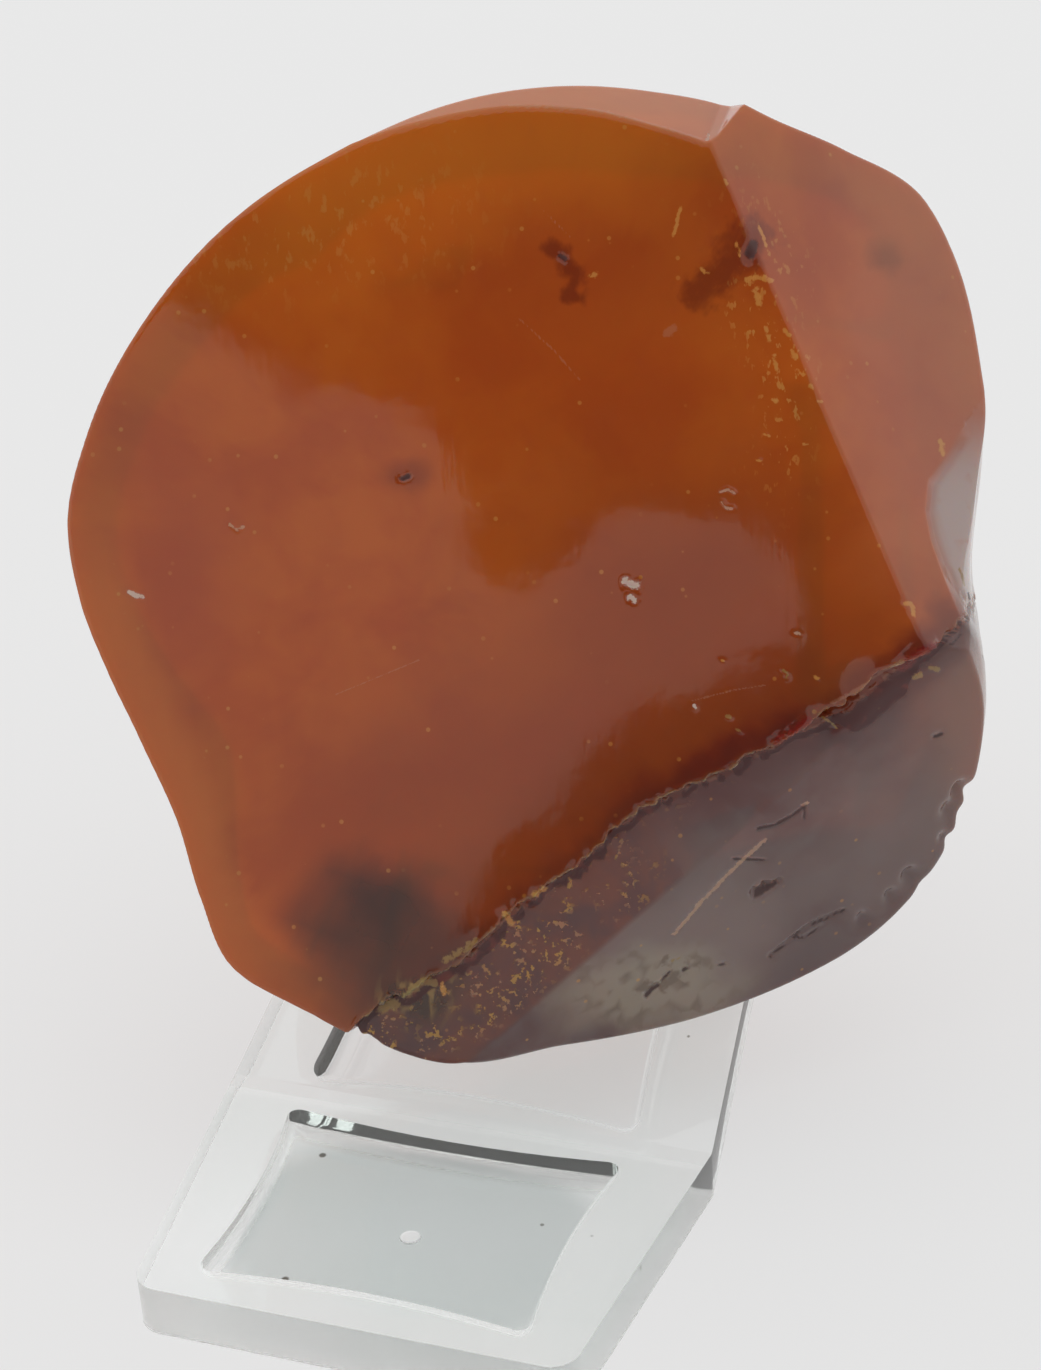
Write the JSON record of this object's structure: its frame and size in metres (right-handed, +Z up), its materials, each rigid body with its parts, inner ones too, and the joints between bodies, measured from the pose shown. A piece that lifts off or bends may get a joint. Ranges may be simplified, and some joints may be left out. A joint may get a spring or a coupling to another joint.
{
  "type": "amber nugget",
  "caption": "Polished cloudy amber nugget with flat facets and a stepped crack, leaning on a clear moulded display stand with a level foot, rising tray and back rest.",
  "frame": {"origin": "on the table, under the middle of the stand's foot plate", "axes": "+X to the stand's right, +Y from the foot towards the back rest, +Z up"},
  "size_m": [0.0778, 0.0876, 0.0858],
  "materials": {
    "amber": "polished cloudy amber, a little see-through at thin edges",
    "clear_plastic": "clear moulded plastic"
  },
  "bodies": {
    "root": {"amber_nugget": "amber", "display_stand": "clear_plastic"}
  },
  "joints": []
}
